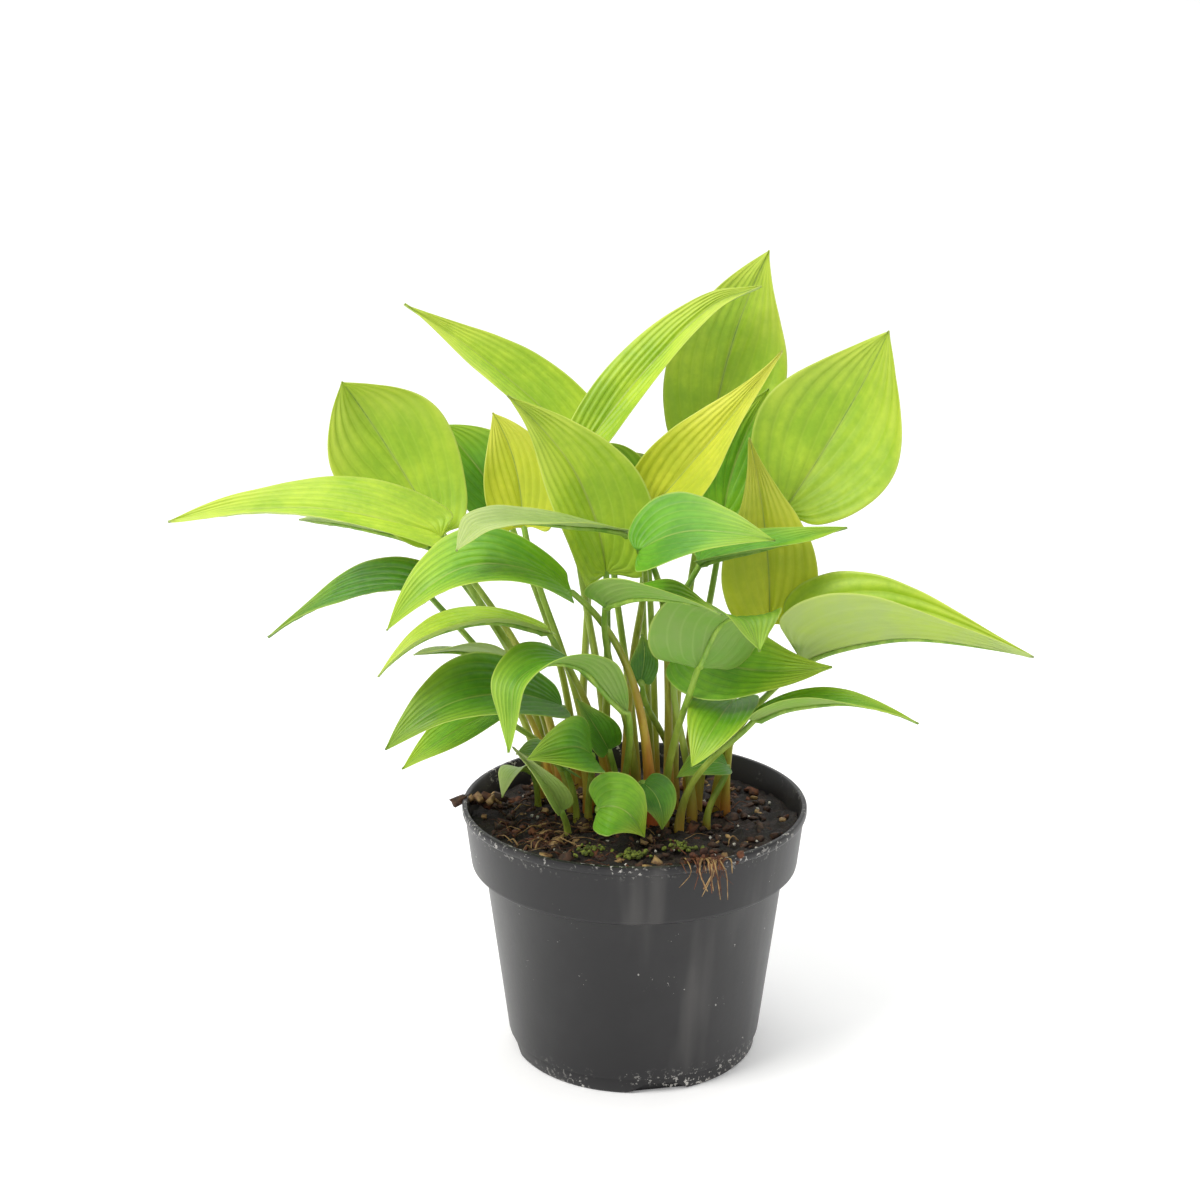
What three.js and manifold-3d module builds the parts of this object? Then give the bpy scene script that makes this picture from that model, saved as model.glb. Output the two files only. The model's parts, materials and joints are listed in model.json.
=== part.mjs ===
// Potted homalomena: a nursery pot, its soil, and a clump of heart-shaped leaves.
// Millimetres, +Z up. The origin is the middle of the pot's foot; the front looks along +Y.
import * as THREE from 'three';
import { mergeVertices } from 'three/addons/utils/BufferGeometryUtils.js';
import Module from 'manifold-3d';

const wasm = await Module();
wasm.setup();

// ---- pot ----
const POT_HEIGHT = 90.5;
const RIM_RADIUS = 60;
const BAND_FOOT_RADIUS = 57;
const BAND_FOOT_Z = 69.5;
const SHOULDER_RADIUS = 52.3;
const WALL_FOOT_RADIUS = 44;
const FOOT_RADIUS = 43.2;
const FOOT_STEP_Z = 6;
const POT_WALL = 1.4;
const FLOOR_Z = 3.4;
const FLOOR_THICKNESS = 1.6;
const PAD_RADIUS = 9;
const POT_SIDES = 72;
const NOTCH_COUNT = 4;
const NOTCH_WIDTH = 24;
const NOTCH_HEIGHT = 3.6;
const NOTCH_FIRST_ANGLE = 281;
const DRAIN_RADIUS = 4;
const DRAIN_RING = 27;
const DRAIN_COUNT = 6;
const DRAIN_FIRST_ANGLE = 30;
const DRAIN_DEPTH = 12;
const DRAIN_SIDES = 16;
const LIP_HEIGHT = 2.6;
const SHOULDER_DROP = 3;
const INNER_SHOULDER_DROP = 2.2;
const INNER_BAND_RISE = 1.4;
const RIM_THICKNESS = 2.1;
const RIM_CHAMFER = 0.7;
const NOTCH_TOP_SHARE = 0.22;
const NOTCH_DEPTH = 8;

// ---- soil ----
const SOIL_GAP = 0.35;
const SOIL_TOP_Z = 83.5;
const SOIL_TILT = 3.2;
const SOIL_LUMP = 1.1;
const SOIL_SPOKES = 36;
const SOIL_RINGS = 7;
const SOIL_TAPER = 0.95;
const SOIL_EDGE_DROP = 4;

// ---- leaves ----
const BLADE_STEPS = [0.025, 0.075, 0.15, 0.26, 0.4, 0.55, 0.71, 0.87];
const STALK_STEPS = [0, 0.14, 0.32, 0.52, 0.72, 0.88, 0.97];
const RIB_THICKNESS = 1.3;
const HALF_THICKNESS = 0.75;
const STALK_TOP_RADIUS = 1.05;
const CHANNEL_DEPTH = 0.32;
const STALK_LIFT = 0.4;
const STALK_LEAN = 0.05;
const STALK_REACH_IN = 0.3;
const TOP_SHARE = 0.25;
const WIDEST_POWER = 0.64;
const LOBE_SPAN = 0.11;
const PINCH_START = 0.25;
const STALK_GAP = 0.4;
const FOLD_STEPS = 6;

const colours = {
  charcoal: 0x3b3a3c,
  soil: 0x2a1d16,
  lime: 0xa9c93c,
  fresh: 0x8cbf34,
  mid: 0x66a52c,
  deep: 0x4a8a22,
  yellow: 0xc3cf48,
  pale: 0x9dbb74,
};

// One entry a leaf.
// root: where the stalk leaves the soil. thick: the stalk's radius there. lift and arrive: how
// straight up it sets off, and which way it runs into the blade.
// base, mid, bend and tip: points the blade's midrib runs through. face: the way the upper side
// looks at the middle. half: half the width. belly: how near the base it is widest.
// lobe: how far the two lobes reach back past the base. pinch: how drawn out the tip is.
// fold: how far the halves rise, in degrees. folds: the same for the left and the right half,
// looking from base to tip. curl: how much more they rise at the margin. twist: roll on the way.
const leaves = [
  { name: 'leaf_back_tall', tone: 'lime', root: [14, 28], thick: 2,
    base: [27, 38, 211], mid: [34, 44, 243], tip: [46, 41, 276],
    face: [0.05, -0.93, 0.35], half: 22.5, fold: 8, curl: 8, twist: 0, lobe: 0.2, belly: 0.8, pinch: 0.2 },
  { name: 'leaf_right_large', tone: 'lime', root: [20, 15], thick: 2,
    base: [51, 13, 191.5], mid: [71, 20, 222], tip: [84.5, 14, 252.5],
    face: [-0.2, -0.92, 0.3], half: 27, fold: 9, curl: 8, twist: 0, lobe: 0.07, belly: 0.76, pinch: 0.1 },
  { name: 'leaf_leaning_bright', tone: 'yellow', root: [6, 17], thick: 1.7,
    base: [6, 3, 196], mid: [26, -4, 221], tip: [47, -10, 250],
    face: [-0.25, -0.85, 0.5], half: 14, fold: 14, curl: 12, twist: 10, lobe: 0.15, belly: 0.6, pinch: 0.55 },
  { name: 'leaf_shaded_right', tone: 'fresh', root: [20, 33], thick: 1.6,
    base: [31, 24, 188], mid: [36, 28, 208], tip: [46, 30, 230],
    face: [0.1, -0.9, 0.4], half: 16, fold: 10, curl: 5, twist: 0, lobe: 0.2 },
  { name: 'leaf_upright_yellow', tone: 'yellow', root: [22, 6], thick: 1.6,
    base: [46, 2, 156], mid: [44, 4, 186], tip: [38, 5, 218],
    face: [0.05, -0.97, 0.2], half: 17, fold: 10, curl: 5, twist: 0, lobe: 0.12, pinch: 0.5 },
  { name: 'leaf_upper_left', tone: 'lime', root: [-19, 32], thick: 1.8,
    base: [-21, 41, 211], mid: [-51, 45, 237], tip: [-80, 45, 257],
    face: [0.35, -0.55, 0.75], half: 16, fold: 14, curl: 8, twist: 0, lobe: 0.2, belly: 0.52, pinch: 0.45 },
  { name: 'leaf_upper_middle', tone: 'lime', root: [-9, 26], thick: 1.8,
    base: [-19, 21, 210], mid: [3, 27, 237], bend: [28, 34, 259.5], tip: [43, 33, 265],
    face: [-0.45, -0.8, 0.4], half: 10.5, fold: 18, curl: 8, twist: 0, lobe: 0.1, belly: 0.6, pinch: 0.6 },
  { name: 'leaf_left_round', tone: 'lime', root: [-27, 24], thick: 1.9,
    base: [-67.5, 13, 184.5], mid: [-86, 22, 213], tip: [-99, 16, 235],
    face: [0, -0.9, 0.42], half: 22, fold: 8, curl: 10, twist: 0, lobe: 0.14, belly: 0.86, pinch: -0.15 },
  { name: 'leaf_left_long', tone: 'lime', root: [-25, 11], thick: 1.9,
    base: [-67, -4, 188], mid: [-109, -16, 199.5], tip: [-153, -20, 195.5],
    face: [0.05, -0.3, 1], half: 18, folds: [10, 8], curl: 6, twist: 0, lobe: 0.16, pinch: 0.2 },
  { name: 'leaf_left_lower_pale', tone: 'pale', root: [-31, 31], thick: 1.6,
    base: [-70, 29, 174.5], mid: [-93, 29, 181], tip: [-117, 27, 184.5],
    face: [0, 0.55, 0.85], half: 17, fold: 6, curl: 8, twist: 0, lobe: 0.16, pinch: 0.2 },
  { name: 'leaf_far_left_deep', tone: 'deep', root: [-33, 21], thick: 1.6,
    base: [-75, 30, 159], mid: [-102, 34, 155.5], tip: [-131, 35, 139],
    face: [-0.1, -0.35, 0.95], half: 12.5, folds: [22, 8], curl: 6, twist: 0, lobe: 0.2, pinch: 0.25 },
  { name: 'leaf_centre_left', tone: 'fresh', root: [6, -8], thick: 2.5,
    base: [-23, -25, 174.5], mid: [-53, -42, 187], tip: [-80, -48, 167],
    face: [0, -0.42, 0.9], half: 17, folds: [6, 4], curl: 8, twist: 0, lobe: 0.09, belly: 0.74, pinch: 0.1,
    arrive: [-0.7, -0.2, 0.6] },
  { name: 'leaf_centre_left_narrow', tone: 'lime', root: [-9, 3], thick: 1.7,
    base: [-30, -14, 157], mid: [-59, -30, 163.5], tip: [-84, -39, 148.5],
    face: [0, 0, 1], half: 12.5, folds: [12, 2], curl: 8, twist: 0, lobe: 0.1, belly: 0.85 },
  { name: 'leaf_lower_left_large', tone: 'deep', root: [-16, 5], thick: 1.8,
    base: [-25, -10, 129], mid: [-54, -33, 140], tip: [-82, -42, 124.5],
    face: [0, -0.5, 0.87], half: 17.5, folds: [10, 4], curl: 8, twist: 0, lobe: 0.07,
    belly: 0.76, pinch: 0.15 },
  { name: 'leaf_lower_folded', tone: 'mid', root: [-4, -4], thick: 1.5,
    base: [-3, -24, 132], mid: [-21, -37, 153], bend: [-38, -50, 152], tip: [-41, -60, 130],
    face: [-0.35, -0.1, 0.9], half: 14, fold: 8, curl: 10, twist: -15, lobe: 0, belly: 0.8, pinch: 0.1 },
  { name: 'leaf_small_heart', tone: 'mid', root: [-16, -5], thick: 1.3,
    base: [-14.5, -22.5, 116], mid: [-22, -38, 124], tip: [-35.5, -47, 123],
    face: [-0.1, -0.85, 0.5], half: 10.6, fold: 6, curl: 10, twist: 0, lobe: 0.13 },
  { name: 'leaf_small_shaded', tone: 'deep', root: [-20, -4], thick: 1.2,
    base: [-24, -9, 106], mid: [-31, -16, 113], tip: [-40, -23, 116],
    face: [0, -0.3, 0.95], half: 10, fold: 6, curl: 4, twist: 0, lobe: 0.2 },
  { name: 'leaf_front_heart', tone: 'fresh', root: [-8, -13], thick: 1.2,
    base: [-12.5, -34, 101], mid: [-4, -36, 101], tip: [3, -34, 90.5],
    face: [0.1, -0.8, 0.6], half: 11.5, fold: 4, curl: 8, twist: 0, lobe: 0.2 },
  { name: 'leaf_front_shaded', tone: 'deep', root: [2, -11], thick: 1.1,
    base: [3, -19, 104], mid: [8, -24, 99], tip: [9, -26, 90],
    face: [0.2, -0.85, 0.4], half: 7, fold: 6, curl: 4, twist: 0, lobe: 0.1, arrive: [0.5, -0.8, 0.1] },
  { name: 'leaf_middle_facing', tone: 'lime', root: [-10, 13], thick: 1.9,
    base: [-10, -9, 177], mid: [-20, -8, 209], tip: [-42, -14, 236],
    face: [0.2, -0.95, 0.25], half: 20, folds: [30, 4], curl: 8, twist: 0, lobe: 0.16,
    belly: 0.66, pinch: 0.35 },
  { name: 'leaf_middle_level', tone: 'pale', root: [-3, 8], thick: 1.6,
    base: [-2, -25, 194], mid: [-29, -38, 200], bend: [-50, -48, 202], tip: [-57, -53, 194.5],
    face: [0, 0.02, 1], half: 10.5, fold: 2, curl: 6, twist: 0, lobe: 0.04, belly: 0.95, lift: 0.75 },
  { name: 'leaf_centre_right', tone: 'mid', root: [12, 5], thick: 1.8,
    base: [0, -45, 192.5], mid: [17, -49, 200], tip: [42.5, -54, 198],
    face: [0.05, -0.45, 0.9], half: 18, fold: 2, curl: 8, twist: 0, lobe: 0.13, belly: 0.7, pinch: 0.2,
    arrive: [-0.3, -0.8, 0.35] },
  { name: 'leaf_right_narrow', tone: 'mid', root: [14, 11], thick: 1.6,
    base: [22, -14, 181], mid: [45, -11, 185.5], tip: [71, 0, 188.5],
    face: [0, -0.1, 1], half: 11, fold: 14, curl: 6, twist: 0, lobe: 0.14, lift: 0.8 },
  { name: 'leaf_middle_hanging', tone: 'mid', root: [1, 0], thick: 1.5,
    base: [-10, -29, 170.5], mid: [7, -48, 178], tip: [26, -60, 175.5],
    face: [0.05, 0.1, 1], half: 11, folds: [20, 30], curl: 8, twist: 0, lobe: 0.16, pinch: 0.2 },
  { name: 'leaf_front_cupped', tone: 'mid', root: [10, -8], thick: 1.6,
    base: [20.5, -30, 150], mid: [27, -38, 166.5], bend: [34, -51, 171.5], tip: [38, -59, 163.5],
    face: [0, 0.55, 0.85], half: 21, fold: 4, curl: 10, twist: 0, lobe: 0.14, belly: 0.6 },
  { name: 'leaf_front_right', tone: 'fresh', root: [20, -3], thick: 1.7,
    base: [15, -7, 147], mid: [39, -20, 145], tip: [64, -30, 149],
    face: [0.1, -0.75, 0.65], half: 15.5, fold: 4, curl: 8, twist: 0, lobe: 0.09, pinch: 0.25 },
  { name: 'leaf_far_right', tone: 'lime', root: [29, 11], thick: 1.9,
    base: [57, -14, 147], mid: [89, -20, 156], tip: [130, -30, 152.5],
    face: [0, -0.05, 1], half: 25, folds: [58, 58], curl: 4, twist: 0, lobe: 0.09, belly: 0.5, pinch: 0.3,
    arrive: [0.6, -0.1, 0.75] },
  { name: 'leaf_lower_right', tone: 'fresh', root: [15, -15], thick: 1.5,
    base: [40, -25, 129.5], mid: [65, -32, 137.5], tip: [92, -38, 132],
    face: [0, -0.1, 1], half: 8.5, folds: [10, 24], curl: 8, twist: 0, lobe: 0.1, pinch: 0.2 },
  { name: 'leaf_right_drooping', tone: 'fresh', root: [32, 5], thick: 1.5,
    base: [33, -11, 131.5], mid: [26, -29, 128.5], tip: [18, -38, 117],
    face: [-0.3, -0.7, 0.6], half: 11.5, fold: 6, curl: 8, twist: 0, lobe: 0.14 },
  { name: 'leaf_right_low', tone: 'deep', root: [25, -6], thick: 1.3,
    base: [32, -5, 105.5], mid: [24, -10, 108], tip: [14, -14, 104],
    face: [0, -0.5, 0.87], half: 7.5, fold: 4, curl: 4, twist: 0, lobe: 0.05 },
  { name: 'leaf_back_left_low', tone: 'pale', root: [-34, 12], thick: 1.2,
    base: [-36, 10, 98], mid: [-42, 4, 100], tip: [-46, -4, 93],
    face: [0, 0.5, 0.87], half: 8, fold: 6, curl: 4, twist: 0, lobe: 0.05 },
  { name: 'leaf_behind_left', tone: 'mid', root: [-21, 40], thick: 1.6,
    base: [-45, 32, 187], mid: [-57, 39, 203], tip: [-68, 42, 215],
    face: [0.25, -0.85, 0.5], half: 16, fold: 16, curl: 8, twist: 0, lobe: 0.2 },
  { name: 'leaf_middle_back_tan', tone: 'yellow', root: [-15, 13], thick: 1.5,
    base: [-38, 4, 190], mid: [-41, 7, 210], tip: [-48, 8, 226],
    face: [0.1, -0.95, 0.3], half: 13, fold: 10, curl: 6, twist: 0, lobe: 0.2 },
  { name: 'leaf_middle_back_deep', tone: 'deep', root: [1, 22], thick: 1.6,
    base: [-8, 9, 191], mid: [-8, 9, 206], tip: [-15, 8, 215],
    face: [0.1, -0.9, 0.4], half: 13, fold: 8, curl: 6, twist: 0, lobe: 0.2 },
  { name: 'leaf_middle_back_grey', tone: 'pale', root: [8, 25], thick: 1.4,
    base: [4, 22, 190], mid: [2, 27, 200], tip: [-3, 30, 208],
    face: [0.2, -0.9, 0.4], half: 11, fold: 8, curl: 6, twist: 0, lobe: 0.2 },
  { name: 'leaf_middle_rounded', tone: 'deep', root: [15, 20], thick: 1.3,
    base: [2, -8, 137], mid: [3, -9, 146], tip: [2, -11, 154],
    face: [0.1, -0.95, 0.3], half: 5, fold: 6, curl: 6, twist: 0, lobe: 0.15 },
  { name: 'leaf_lower_left_tip', tone: 'fresh', root: [-22, 5], thick: 1.4,
    base: [-49, -12, 127], mid: [-64, -20, 121], tip: [-78, -28, 112.5],
    face: [0, -0.4, 0.9], half: 8, fold: 6, curl: 6, twist: 0, lobe: 0.2 },
  { name: 'leaf_left_hidden_grey', tone: 'pale', root: [-29, 17], thick: 1.4,
    base: [-50, 12, 139], mid: [-62, 4, 144], tip: [-75, -8, 146],
    face: [0, 0.3, 0.95], half: 11, fold: 6, curl: 6, twist: 0, lobe: 0.2 },
  { name: 'leaf_shaded_inner', tone: 'deep', root: [-5, 2], thick: 1.2,
    base: [-9, -7, 112], mid: [-14, -10, 122], tip: [-20, -13, 132],
    face: [0.3, -0.85, 0.3], half: 7, fold: 20, curl: 8, twist: 0, lobe: 0.1, pinch: 0.3 },
  { name: 'leaf_pale_sheath', tone: 'pale', root: [-23, -19], thick: 1.3,
    base: [-25, -24, 96], mid: [-31, -27, 108], tip: [-41, -30, 121],
    face: [0.3, -0.8, 0.4], half: 6, fold: 40, curl: 10, twist: 0, lobe: 0.02, belly: 0.5, pinch: 0.4 },
];

// ---- helpers ----
function toRadians(degrees) {
  return THREE.MathUtils.degToRad(degrees);
}

function vector(list) {
  return new THREE.Vector3(list[0], list[1], list[2]);
}

function toManifold(geometry) {
  const bare = geometry.clone();
  bare.deleteAttribute('normal');
  bare.deleteAttribute('uv');
  const merged = mergeVertices(bare, 1e-4);
  const vertProperties = new Float32Array(merged.attributes.position.array);
  const triVerts = new Uint32Array(merged.index.array);
  return new wasm.Manifold(new wasm.Mesh({ numProp: 3, vertProperties, triVerts }));
}

function fromManifold(solid) {
  const mesh = solid.getMesh();
  const geometry = new THREE.BufferGeometry();
  geometry.setAttribute('position', new THREE.BufferAttribute(mesh.vertProperties, 3));
  geometry.setIndex(new THREE.BufferAttribute(mesh.triVerts, 1));
  geometry.computeVertexNormals();
  return geometry;
}

function signedVolume(points, faces) {
  let total = 0;
  for (const [a, b, c] of faces) {
    total += points[a].dot(new THREE.Vector3().crossVectors(points[b], points[c]));
  }
  return total / 6;
}

function solidFrom(points, faces) {
  const outward = signedVolume(points, faces) > 0;
  const index = [];
  for (const [a, b, c] of faces) {
    if (outward) {
      index.push(a, b, c);
    } else {
      index.push(a, c, b);
    }
  }
  const geometry = new THREE.BufferGeometry().setFromPoints(points);
  geometry.setIndex(index);
  geometry.computeVertexNormals();
  return geometry;
}

// A closed skin over rings of equal length, with a point at each end.
function skin(rings, first, last) {
  const points = [first];
  for (const ring of rings) {
    points.push(...ring);
  }
  points.push(last);
  const count = rings[0].length;
  const faces = [];
  for (let i = 0; i < count; i += 1) {
    const next = (i + 1) % count;
    faces.push([0, 1 + next, 1 + i]);
    for (let row = 0; row < rings.length - 1; row += 1) {
      const here = 1 + row * count;
      const beyond = here + count;
      faces.push([here + i, here + next, beyond + next]);
      faces.push([here + i, beyond + next, beyond + i]);
    }
    const end = 1 + (rings.length - 1) * count;
    faces.push([end + i, end + next, points.length - 1]);
  }
  return solidFrom(points, faces);
}

// ---- leaf ----
function marginOf(leaf, t) {
  const drawn = 1 - (leaf.pinch ?? 0) * THREE.MathUtils.smoothstep(t, PINCH_START, 1);
  const rise = Math.sin(Math.PI * t ** (leaf.belly ?? WIDEST_POWER)) * drawn;
  const back = (t / LOBE_SPAN) * Math.exp(1 - t / LOBE_SPAN);
  return { along: t - leaf.lobe * back, across: leaf.half * rise };
}

// An arc through three points, or a smooth run through four where the tip hooks.
function midribCurve(leaf) {
  const base = vector(leaf.base);
  const tip = vector(leaf.tip);
  const middle = vector(leaf.mid);
  if (leaf.bend) {
    return new THREE.CatmullRomCurve3([base, middle, vector(leaf.bend), tip], false, 'centripetal');
  }
  const handle = middle.clone().multiplyScalar(2).addScaledVector(base, -0.5).addScaledVector(tip, -0.5);
  return new THREE.QuadraticBezierCurve3(base, handle, tip);
}

// The frame that carries the blade turns with the midrib.
function midribOf(leaf) {
  const curve = midribCurve(leaf);
  const start = curve.getTangent(0);
  const centre = curve.getTangent(0.5);
  const face = vector(leaf.face);
  face.addScaledVector(centre, -face.dot(centre)).normalize();
  const length = curve.getLength();
  return function frame(u) {
    const inside = THREE.MathUtils.clamp(u, 0, 1);
    const forward = curve.getTangent(inside);
    const point = curve.getPoint(inside);
    if (u < 0) {
      point.addScaledVector(start, u * length);
    }
    const turn = new THREE.Quaternion().setFromUnitVectors(centre, forward);
    const up = face.clone().applyQuaternion(turn);
    up.applyAxisAngle(forward, toRadians(leaf.twist) * (inside - 0.5));
    const side = new THREE.Vector3().crossVectors(up, forward);
    return { point, forward, up, side };
  };
}

function bladePoint(leaf, frame, t, k) {
  const margin = marginOf(leaf, t);
  const share = Math.abs(k);
  const place = frame(t + (margin.along - t) * share);
  const reach = margin.across * share;
  const point = place.point.clone();
  const [left, right] = leaf.folds ?? [leaf.fold, leaf.fold];
  const fold = k > 0 ? left : right;
  for (let step = 0; step < FOLD_STEPS; step += 1) {
    const part = (reach / leaf.half) * ((step + 0.5) / FOLD_STEPS);
    const slope = toRadians(fold + leaf.curl * 2 * part);
    point.addScaledVector(place.side, (Math.sign(k) * Math.cos(slope) * reach) / FOLD_STEPS);
    point.addScaledVector(place.up, (Math.sin(slope) * reach) / FOLD_STEPS);
  }
  return { point, up: place.up };
}

function bladeRing(leaf, frame, t) {
  const ring = [];
  const rib = THREE.MathUtils.lerp(RIB_THICKNESS, HALF_THICKNESS, t);
  for (const k of [0, 0.5, 1, 0.5, 0, -0.5, -1, -0.5]) {
    const { point, up } = bladePoint(leaf, frame, t, k);
    const order = ring.length;
    const above = order < 2 || order > 6;
    const onMargin = order === 2 || order === 6;
    const thickness = k === 0 ? rib : HALF_THICKNESS;
    if (!onMargin) {
      point.addScaledVector(up, above ? thickness * TOP_SHARE : thickness * (TOP_SHARE - 1));
    }
    ring.push(point);
  }
  return ring;
}

function stalkRing(centre, across, top, radius) {
  const ring = [];
  for (let i = 0; i < 8; i += 1) {
    const angle = (i * Math.PI) / 4;
    const reach = i === 0 ? radius * (1 - CHANNEL_DEPTH) : radius;
    const point = centre.clone();
    point.addScaledVector(across, Math.sin(angle) * reach);
    point.addScaledVector(top, Math.cos(angle) * reach);
    ring.push(point);
  }
  return ring;
}

function soilHeight(x, y) {
  const lump = Math.sin(x * 0.23 + 1.3) * Math.cos(y * 0.19 - 0.6) + 0.5 * Math.sin(x * 0.11 - y * 0.31);
  return SOIL_TOP_Z - (SOIL_TILT * y) / RIM_RADIUS + SOIL_LUMP * lump;
}

function stalkCurve(leaf, frame) {
  const [x, y] = leaf.root;
  const start = new THREE.Vector3(x, y, soilHeight(x, y) + STALK_GAP + leaf.thick * 0.5);
  const end = vector(leaf.base);
  const blade = frame(0);
  const span = start.distanceTo(end);
  const rise = end.clone().sub(start).normalize();
  let arrival = rise.clone().multiplyScalar(0.75).addScaledVector(blade.forward, 0.5);
  arrival.z += 0.25;
  if (leaf.arrive) {
    arrival = vector(leaf.arrive);
  }
  arrival.normalize();
  const lift = leaf.lift ?? STALK_LIFT;
  const low = start.clone().addScaledVector(rise, span * STALK_LEAN);
  low.z += span * lift;
  const high = end.clone().addScaledVector(arrival, -span * STALK_REACH_IN);
  return new THREE.CubicBezierCurve3(start, low, high, end);
}

function leafGeometry(leaf) {
  const frame = midribOf(leaf);
  const curve = stalkCurve(leaf, frame);
  const across = frame(0).side.clone();
  const rings = [];
  for (const s of [...STALK_STEPS].reverse()) {
    const tangent = curve.getTangent(s);
    across.addScaledVector(tangent, -across.dot(tangent)).normalize();
    const top = new THREE.Vector3().crossVectors(tangent, across);
    const radius = THREE.MathUtils.lerp(leaf.thick, STALK_TOP_RADIUS, Math.sqrt(s));
    rings.unshift(stalkRing(curve.getPoint(s), across, top, radius));
  }
  for (const t of BLADE_STEPS) {
    rings.push(bladeRing(leaf, frame, t));
  }
  return skin(rings, curve.getPoint(0), vector(leaf.tip));
}

// ---- pot ----
function potGeometry() {
  const inner = POT_WALL;
  const outline = [
    [0, 0], [PAD_RADIUS, 0], [PAD_RADIUS + 2, FLOOR_Z - FLOOR_THICKNESS + 0.2],
    [FOOT_RADIUS - 5, FLOOR_Z - FLOOR_THICKNESS], [FOOT_RADIUS - 3, 0], [FOOT_RADIUS - 0.6, 0],
    [FOOT_RADIUS, 0.8], [FOOT_RADIUS + 0.3, FOOT_STEP_Z - 0.6], [WALL_FOOT_RADIUS + 0.5, FOOT_STEP_Z],
    [SHOULDER_RADIUS, BAND_FOOT_Z - SHOULDER_DROP], [SHOULDER_RADIUS + 1.2, BAND_FOOT_Z - 0.8],
    [BAND_FOOT_RADIUS - 0.5, BAND_FOOT_Z - 0.8], [BAND_FOOT_RADIUS, BAND_FOOT_Z],
    [RIM_RADIUS - 0.9, POT_HEIGHT - 3.2], [RIM_RADIUS, POT_HEIGHT - LIP_HEIGHT],
    [RIM_RADIUS, POT_HEIGHT - RIM_CHAMFER],
    [RIM_RADIUS - RIM_CHAMFER, POT_HEIGHT], [RIM_RADIUS - 1.6, POT_HEIGHT],
    [RIM_RADIUS - RIM_THICKNESS, POT_HEIGHT - 0.6],
    [BAND_FOOT_RADIUS - inner, BAND_FOOT_Z + INNER_BAND_RISE],
    [SHOULDER_RADIUS - inner, BAND_FOOT_Z - INNER_SHOULDER_DROP],
    [WALL_FOOT_RADIUS - inner, FLOOR_Z + 1.6], [WALL_FOOT_RADIUS - inner - 1.6, FLOOR_Z], [0, FLOOR_Z],
  ];
  const profile = outline.map(([r, z]) => new THREE.Vector2(r, z));
  const shell = new THREE.LatheGeometry(profile, POT_SIDES);
  shell.rotateX(Math.PI / 2);
  let solid = toManifold(shell);
  for (let i = 0; i < NOTCH_COUNT; i += 1) {
    const angle = toRadians(NOTCH_FIRST_ANGLE + (i * 360) / NOTCH_COUNT);
    const notch = new THREE.Shape();
    notch.moveTo(-NOTCH_WIDTH / 2, -1);
    notch.lineTo(NOTCH_WIDTH / 2, -1);
    notch.lineTo(NOTCH_WIDTH * NOTCH_TOP_SHARE, NOTCH_HEIGHT);
    notch.lineTo(-NOTCH_WIDTH * NOTCH_TOP_SHARE, NOTCH_HEIGHT);
    const cutter = new THREE.ExtrudeGeometry(notch, { depth: NOTCH_DEPTH, bevelEnabled: false });
    cutter.rotateX(Math.PI / 2);
    cutter.rotateZ(angle + Math.PI / 2);
    const out = FOOT_RADIUS + 2;
    cutter.translate(Math.cos(angle) * out, Math.sin(angle) * out, 0);
    solid = solid.subtract(toManifold(cutter));
  }
  for (let i = 0; i < DRAIN_COUNT; i += 1) {
    const angle = toRadians(DRAIN_FIRST_ANGLE + (i * 360) / DRAIN_COUNT);
    const drain = new THREE.CylinderGeometry(DRAIN_RADIUS, DRAIN_RADIUS, DRAIN_DEPTH, DRAIN_SIDES);
    drain.rotateX(Math.PI / 2);
    drain.translate(Math.cos(angle) * DRAIN_RING, Math.sin(angle) * DRAIN_RING, FLOOR_Z);
    solid = solid.subtract(toManifold(drain));
  }
  return fromManifold(solid);
}

// ---- soil ----
function innerRadiusAt(z) {
  const foot = WALL_FOOT_RADIUS - POT_WALL;
  const shoulder = SHOULDER_RADIUS - POT_WALL;
  const shoulderZ = BAND_FOOT_Z - INNER_SHOULDER_DROP;
  const bandZ = BAND_FOOT_Z + INNER_BAND_RISE;
  const band = BAND_FOOT_RADIUS - POT_WALL;
  if (z < shoulderZ) {
    return THREE.MathUtils.mapLinear(z, FLOOR_Z + 1.6, shoulderZ, foot, shoulder);
  }
  if (z < bandZ) {
    return THREE.MathUtils.mapLinear(z, shoulderZ, bandZ, shoulder, band);
  }
  return THREE.MathUtils.mapLinear(z, bandZ, POT_HEIGHT - 0.6, band, RIM_RADIUS - RIM_THICKNESS);
}

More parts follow.
